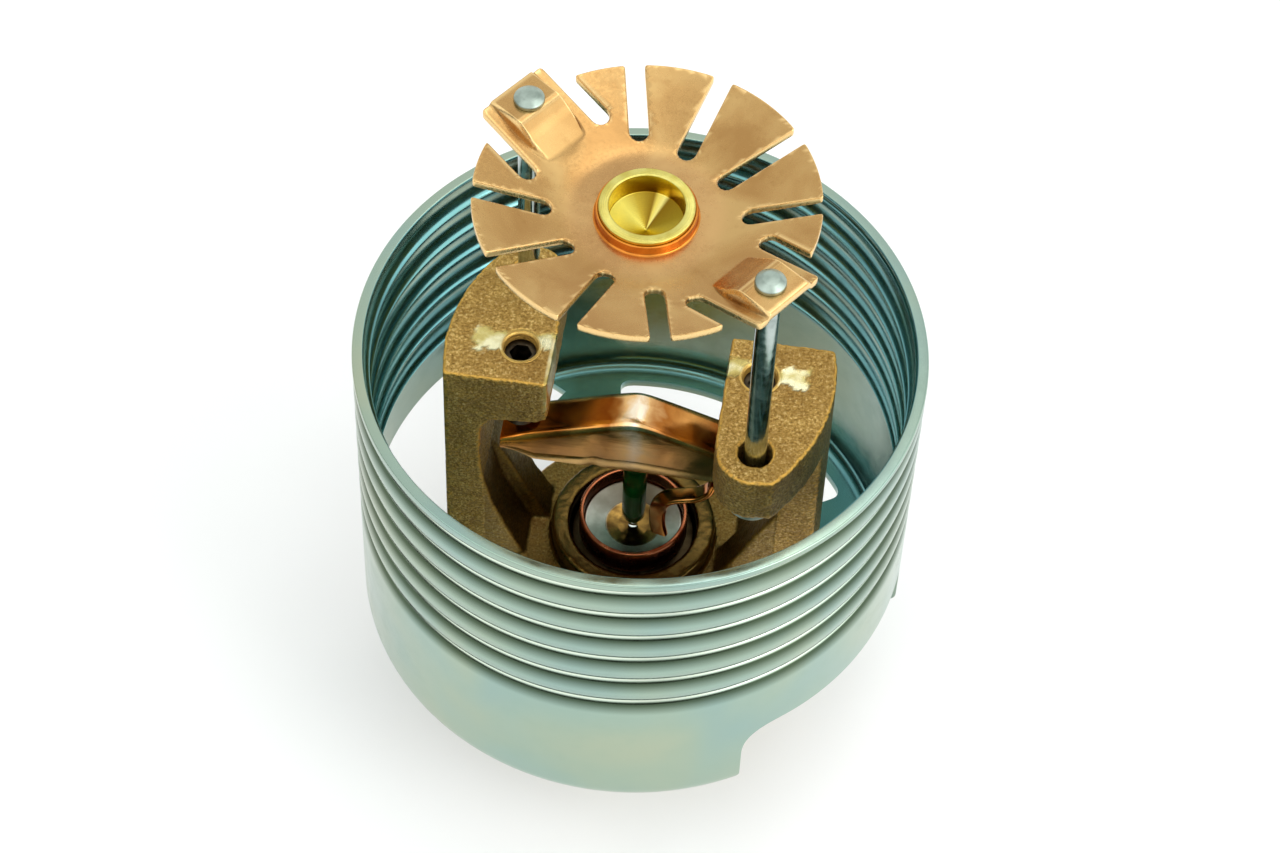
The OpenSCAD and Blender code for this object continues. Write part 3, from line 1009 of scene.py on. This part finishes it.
def half_outline():
    """Deflector's outline from one tab round to the other, u along the tab."""
    tab_half = SIDE_SLOT[1] - SLOT_HALF
    outer_v = SIDE_SLOT[1] + SLOT_HALF
    reach = sqrt(TEETH_R ** 2 - outer_v ** 2)
    points = [(TAB_L, -tab_half, TOOTH_CORNER), (TAB_L, tab_half, TOOTH_CORNER)]
    points += slot_root(SIDE_SLOT, 0)
    points.append((reach, outer_v, TOOTH_CORNER))
    last = atan2(outer_v, reach)
    spread = asin(SLOT_HALF / TEETH_R)
    for degrees, root in SLOTS:
        angle = radians(degrees)
        points += outer_arc(last, angle - spread)
        points.append(polar(TEETH_R, angle - spread, TOOTH_CORNER))
        points += slot_root(polar(root, angle), angle)
        points.append(polar(TEETH_R, angle + spread, TOOTH_CORNER))
        last = angle + spread
    points += outer_arc(last, pi - atan2(outer_v, reach))
    points.append((-reach, outer_v, TOOTH_CORNER))
    points += slot_root((-SIDE_SLOT[0], SIDE_SLOT[1]), pi)
    return points


def plate_height(u, v):
    """Upper face of the stamped plate, with its raised pads."""
    slope, break_r, blend = 0.32, 7.9, 0.35
    past = hypot(u, v) - break_r
    cone = PLATE_TOP + slope * blend * log1p(exp(min(60, past / blend)))
    along = abs(u)
    pad = PAD_TOP - np.interp(along, *zip(*PAD_FALL))
    if along < PAD_FROM or pad < cone:
        return cone
    half = PAD_HALF + 0.5 * min(1, (along - PAD_FROM) / 2.2)
    fall = smoothstep(half, half + 0.42, abs(v))
    return pad * (1 - fall) + cone * fall


def collar():
    """Edge of the plate drawn up round the nose."""
    outer, inner, hole = 4.85, 4.63, 4.2
    top, step, under = PLATE_TOP + 1.1, PLATE_TOP + 0.2, PLATE_TOP - PLATE_T
    return turned("deflector_collar", [
        (5.5, PLATE_TOP - 0.06), (outer, PLATE_TOP + 0.02, 0.4), (outer, top, 0.2),
        (inner, top, 0.05), (inner, step), (hole, step), (hole, under), (5.4, under),
    ])


def make_deflector():
    half = half_outline()
    outline = round_corners(half + [(-p[0], -p[1], *p[2:]) for p in half], closed=True, steps=4)
    plate = prism("deflector_plate", outline, lambda u, v, end: (u, v, -PLATE_T * end))
    add_bevel(plate, 0.32, angle=60, segments=3)
    shape = bmesh.new()
    shape.from_mesh(plate.data)
    grid = 0.6
    hole_r = 4.5
    lines = [k * grid for k in range(-31, 32)]
    ramp_lines = [side * (PAD_FROM + k * 0.2) for side in (-1, 1) for k in range(24)]
    pad_lines = [side * (PAD_HALF + k * 0.12) for side in (-1, 1) for k in range(9)]
    for direction, places in (((1, 0, 0), lines + ramp_lines), ((0, 1, 0), lines + pad_lines)):
        for place in places:
            slice_mesh(shape, direction, place, dist=1e-7)
    hole = [f for f in shape.faces if f.calc_center_median().xy.length < hole_r * MM]
    bmesh.ops.delete(shape, geom=hole, context="FACES")
    for vert in shape.verts:
        vert.co.z += plate_height(vert.co.x / MM, vert.co.y / MM) * MM
    shape.to_mesh(plate.data)
    shape.free()
    turn(plate, TAB_ANGLE)
    mark_edges(plate)
    dress(plate, STAMPED, "deflector_bronze", "drop_deflector", "deflector")
    dress(collar(), COLLAR, "deflector_bronze", "drop_deflector", "deflector")


make_deflector()


def make_nose():
    """Turned nose: flange, neck in the plate, rim, bore, and a cone at the bottom."""
    ring_in, ring_out, neck, flange = 3.62, 4.6, 4.1, 4.7
    under, over = PLATE_TOP - PLATE_T - 0.05, PLATE_TOP + 0.25
    rim = nose_high.z
    cone_top = rim - 2.4
    tip = cone_top - 1.25
    nose = turned("nose_turned", [
        (0, nose_low.z), (flange, nose_low.z, 0.2), (flange, under, 0.1), (neck, under), (neck, over),
        (ring_out, over, 0.05), (ring_out, rim, 0.22), (ring_in, rim, 0.16),
        (ring_in, cone_top, 0.12), (0.12, tip, 0.05), (0, tip),
    ], steps=6, segments=128)
    points = coordinates(nose)
    radius, height = distance_from_axis(points), points[:, 2]
    on_bore = (abs(radius - ring_in) < 0.1) & (height < rim - 0.2) & (height > cone_top - 0.1)
    on_cone = (radius < ring_in + 0.01) & (height > tip - 0.15) & (height < cone_top + 0.15)
    mark(nose, bore=on_bore)
    mark(nose, cone=on_cone)
    dress(nose, TURNED, "turned_brass", "drop_deflector", "deflector_nose")


make_nose()


# ------------------------ guide pins and set screws

def make_pin(side):
    """Foot, shaft and the rivet's head on the tab; the foot and head are zinc-plated."""
    low, high = box_mm(f"guide_pin_{side}")
    foot_r = (high.x - low.x) / 2
    foot_top = low.z + 2.6
    x, y = (low.x + high.x) / 2, (low.y + high.y) / 2
    rivet_r = 1.5
    pin = turned(f"guide_pin_{side}_turned", [
        (0, low.z), (foot_r - 0.7, low.z, 0.2), (foot_r, low.z + 0.4, 0.3), (foot_r, foot_top, 0.25),
        (PIN_R, foot_top, 0.1), (PIN_R, PAD_TOP), (rivet_r, PAD_TOP + 0.02, 0.05),
        (rivet_r, PAD_TOP + 0.42, 0.3), (0.85, high.z, 0.4), (0, high.z),
    ], segments=48)
    dress(shift(pin, x, y), [STEEL, RIVET], "pin_steel", "drop_deflector", f"guide_pin_{side}")
    for face in pin.data.polygons:
        height = face.center.z / MM
        face.material_index = 1 if height > PAD_TOP or height < foot_top + 0.1 else 0


def make_screw(side):
    """Set screw with a hexagonal socket."""
    low, high = box_mm(f"set_screw_{side}")
    outer = (high.x - low.x) / 2
    x = (low.x + high.x) / 2
    tip = 0.6
    screw = turned(f"set_screw_{side}_socket", [
        (0, low.z), (outer - tip, low.z, 0.15), (outer, low.z + tip, 0.1),
        (outer, high.z, 0.25), (0, high.z),
    ], segments=48)
    socket_r, socket_ends = 1.15, (high.z - 2.5, high.z + 1)
    hexagon = [polar(socket_r, TAU * k / 6) for k in range(6)]
    cut(screw, prism("cutter", hexagon, lambda u, v, end: (u, v, socket_ends[end])))
    add_bevel(screw, 0.08)
    dress(shift(screw, x, 0), SCREW, "screw_steel", "head", f"set_screw_{side}")


for side_name in ("left", "right"):
    make_pin(side_name)
    make_screw(side_name)


# ------------------------ yoke and ejector strip

def make_yoke():
    """Folded bridge: a roof that falls to both ends, and a flange on each long side."""
    wall = 0.85
    reach, half = yoke_high.x, yoke_high.y
    ridge, lower = yoke_high.z, yoke_low.z
    drop, bend = 5.1, 1.1
    flange_end = 10.4  # where the flanges start to close up to the roof
    stations = 72

    def roof(x):
        """Height of the roof's top along the yoke, round at the ridge."""
        return ridge - drop * (np.sqrt(x * x + 1.0) - 1.0) / (sqrt(reach ** 2 + 1) - 1)

    verts = []
    for i in range(stations + 1):
        x = -reach + 2 * reach * i / stations
        top = roof(x)
        closing = max(0.0, (abs(x) - flange_end) / (reach - flange_end))
        edge = lower + (top - 1.35 - lower) * closing
        waist = edge + (top - edge) * 0.2
        inset = 0.16 * (1 - closing)
        section = round_corners([
            (half, edge), (half - inset, waist, 0.4), (half - inset, top, bend),
            (inset - half, top, bend), (inset - half, waist, 0.4), (-half, edge),
        ])
        dent = 0.22 * exp(-((x + 4.0) / 0.7) ** 2)
        verts += [(x, y + (dent if y < -half + 0.2 and z < top - 2 else 0), z) for y, z in section]
    yoke = new_piece("yoke_folded", verts, skin(stations + 1, len(section)))
    shape = bmesh.new()
    shape.from_mesh(yoke.data)
    top_face = max(shape.faces, key=lambda f: f.calc_center_median().z)
    if top_face.normal.z < 0:
        bmesh.ops.reverse_faces(shape, faces=shape.faces)
    shape.to_mesh(yoke.data)
    shape.free()
    modify(yoke, "SOLIDIFY", thickness=wall * MM, offset=-1)
    add_bevel(yoke, 0.14, angle=50)
    x, y, z = coordinates(yoke).T
    mark(yoke, flange=np.clip((roof(x) - z - 0.7) / 0.6, 0, 1))
    mark_edges(yoke, z < roof(x) - 1.2)
    dress(yoke, YOKE, "yoke_bronze", "head", "yoke")


def smooth_path(points, steps=6):
    """Catmull-Rom curve through the points."""
    points = [Vector(p) for p in points]
    padded = [points[0] * 2 - points[1], *points, points[-1] * 2 - points[-2]]
    path = []
    for a, b, c, d in zip(padded, padded[1:], padded[2:], padded[3:]):
        for k in range(steps):
            t = k / steps
            curve = (2 * a - 5 * b + 4 * c - d) * t ** 2 + (3 * b - a - 3 * c + d) * t ** 3
            path.append(0.5 * (2 * b + (c - a) * t + curve))
    return path + [points[-1]]


def make_ejector():
    """Flat strip from the yoke's flange that curls down beside the bulb into the cap."""
    path = smooth_path([
        (8.4, -1.6, 36.2), (7.9, -1.7, 34.7), (6.8, -1.75, 33.6), (5.2, -1.75, 33.0), (3.8, -1.7, 32.3),
        (3.0, -1.6, 31.0), (2.7, -1.55, 29.4), (2.7, -1.55, 27.4), (3.0, -1.6, 25.6),
    ])
    half_w, half_t = 0.92, 0.34
    section = round_corners([
        (-half_w, -half_t, 0.3), (half_w, -half_t, 0.3), (half_w, half_t, 0.3), (-half_w, half_t, 0.3),
    ], closed=True, steps=4)
    verts = []
    for i, point in enumerate(path):
        along = (path[min(i + 1, len(path) - 1)] - path[max(i - 1, 0)]).normalized()
        turned = smoothstep(0.35, 0.75, i / (len(path) - 1)) * radians(70)
        wide = Vector((-sin(turned), cos(turned), 0))
        wide = (wide - along * wide.dot(along)).normalized()
        thick = along.cross(wide).normalized()
        verts += [tuple(point + wide * u + thick * v) for u, v in section]
    count = len(section)
    ends = [list(range(count)), list(range(len(verts) - count, len(verts)))]
    strip = new_piece("ejector_strip", verts, skin(len(path), count, closed=True) + ends)
    dress(strip, YOKE, "yoke_bronze", "head", "ejector_spring")


make_yoke()
make_ejector()


# ------------------------ bulb, cap and seal

def make_bulb():
    """Glass tube that narrows to its foot, and the liquid inside it."""
    low, high = box_mm("glass_bulb")
    r = high.x
    bulb = turned("bulb_glass_tube", [
        (0, low.z), (0.5, low.z, 0.3), (0.6, low.z + 0.9, 0.5), (r, low.z + 2.2, 1.2),
        (r, high.z - r, 1.2), (0.4, high.z, 0.5), (0, high.z),
    ], steps=8, segments=48)
    dress(bulb, GLASS, "bulb_glass", "head", "glass_bulb", sharp=80)
    low, high = box_mm("bulb_liquid")
    r = high.x
    liquid = turned("bulb_liquid_core", [
        (0, low.z + 0.4), (0.35, low.z + 0.5, 0.2), (r, low.z + 1.9, 0.9),
        (r, high.z, 0.3), (0, high.z - 0.15),
    ], steps=8, segments=48)
    dress(liquid, LIQUID, "green_liquid", "head", "bulb_liquid", sharp=80)


def make_cap():
    """Copper cap, the insert in it, and the washer and ring that seal the waterway under it."""
    low, high = box_mm("pip_cap")
    r, wall = high.x, 0.5
    cap = turned("pip_cap_copper", [
        (0, low.z), (r, low.z, 0.4), (r, high.z, 0.22), (r - wall, high.z, 0.2),
        (r - wall, low.z + wall, 0.2), (0, low.z + wall),
    ])
    dress(cap, CAP, "cap_copper", "head", "pip_cap")
    low, high = box_mm("cap_insert")
    r = high.x
    insert = turned("cap_insert_ring", [
        (0, low.z), (r, low.z), (r, high.z, 0.2), (2.9, high.z - 0.75, 0.2), (1.6, low.z + 0.15, 0.2),
        (0, low.z + 0.1),
    ])
    dress(insert, INSERT, "insert_steel", "head", "cap_insert")
    low, high = box_mm("belleville_washer")
    inner, thick, edge = 3.2, 0.25, 0.08
    washer = turned("belleville_washer_coned", [
        (inner, high.z - thick, edge), (high.x, low.z, edge),
        (high.x, low.z + thick, edge), (inner, high.z, edge),
    ], closed=True, steps=3)
    dress(washer, WASHER_SHADE, "washer_nickel", "head", "belleville_washer")
    low, high = box_mm("seal_ring")
    inner = high.x - 1.1
    seal = turned("seal_ring_moulded", [
        (inner, low.z, 0.1), (high.x, low.z, 0.12), (high.x, high.z, 0.12), (inner, high.z, 0.1),
    ], closed=True, steps=3)
    dress(seal, POLYMER, "seal_polymer", "head", "seal_ring")


make_bulb()
make_cap()


# ------------------------ stage, light and camera

def make_stage():
    half = 3.0  # metres
    corners = [(-half, -half, 0), (half, -half, 0), (half, half, 0), (-half, half, 0)]
    mesh = bpy.data.meshes.new("floor")
    mesh.from_pydata(corners, [], [range(4)])
    floor = new_object("floor", mesh)
    f = Finish("floor_white", roughness=0.8)
    base = f.ramp(f.noise(60), (0.3, (243.45, 243.45, 243.45)), (0.7, (245.81, 245.81, 245.81)))
    floor.data.materials.append(f.paint(base))


def area_light(name, place, target, size, radiance):
    """Soft square light that shows as this radiance; lengths are in millimetres."""
    data = bpy.data.lights.new(name, "AREA")
    data.size = size * MM
    data.energy = radiance * pi * data.size ** 2
    light = new_object(name, data)
    light.location = Vector(place) * MM
    direction = (Vector(target) - Vector(place)).normalized()
    light.rotation_mode = "QUATERNION"
    light.rotation_quaternion = direction.to_track_quat("-Z", "Y")


def make_world():
    """Soft studio room: white above, dark low in front and on the left, a glow low on the right."""
    world = bpy.data.worlds.new("studio")
    bpy.context.scene.world = world
    world.use_nodes = True
    n = Nodes(world.node_tree)
    place = n.node("ShaderNodeTexCoord")

    def lobe(direction, low, high, outer, inner):
        """Value that goes from outer to inner as the view nears a direction."""
        towards = n.node("ShaderNodeVectorMath", operation="DOT_PRODUCT")
        towards.inputs[1].default_value = Vector(direction).normalized()
        n.link(place.outputs["Generated"], towards.inputs[0])
        return n.span(towards.outputs["Value"], low, high, outer, inner)

    front = lobe((-0.6, -0.8, 0), -0.15, 0.4, 0.0, 0.92)
    low_down = lobe((0, 0, 1), 0.12, 0.3, 1.0, 0.0)
    shade = n.math("SUBTRACT", 1.0, n.math("MULTIPLY", front, low_down))
    glow = lobe((0.9, -0.35, 0.18), 0.55, 0.9, 1.0, 2.2)
    window = lobe((-0.4, -0.7, 0.6), 0.74, 0.92, 1.0, 1.6)
    strength = n.math("MULTIPLY", n.math("MULTIPLY", shade, glow), window)
    background = n.tree.nodes["Background"]
    background.inputs["Color"].default_value = (0.98, 1.0, 0.99, 1)
    n.link(strength, background.inputs["Strength"])


def make_camera():
    """Camera fitted to the photo."""
    target, distance = Vector((0.27, 0.03, 41.68)), 361.3
    azimuth, elevation, roll = [radians(a) for a in (6.0, 54.02, 2.57)]
    level = cos(elevation)
    back = Vector((sin(azimuth) * level, -cos(azimuth) * level, sin(elevation)))
    right = Vector((0, 0, 1)).cross(back).normalized()
    up = back.cross(right)
    tilted_right = right * cos(roll) + up * sin(roll)
    tilted_up = up * cos(roll) - right * sin(roll)
    data = bpy.data.cameras.new("camera")
    data.lens = 99.84
    data.sensor_width = 36
    data.clip_start = 0.01
    data.clip_end = 20
    camera = new_object("camera", data)
    rotation = Matrix((tilted_right, tilted_up, back)).transposed().to_4x4()
    camera.matrix_world = Matrix.Translation((target + back * distance) * MM) @ rotation
    bpy.context.scene.camera = camera


make_stage()
make_world()
area_light("key", (330, -200, 330), (0, 0, 40), 200, 3.0)
area_light("top", (60, 160, 520), (0, 0, 30), 200, 1.6)
make_camera()
bpy.context.scene.view_settings.view_transform = "Standard"
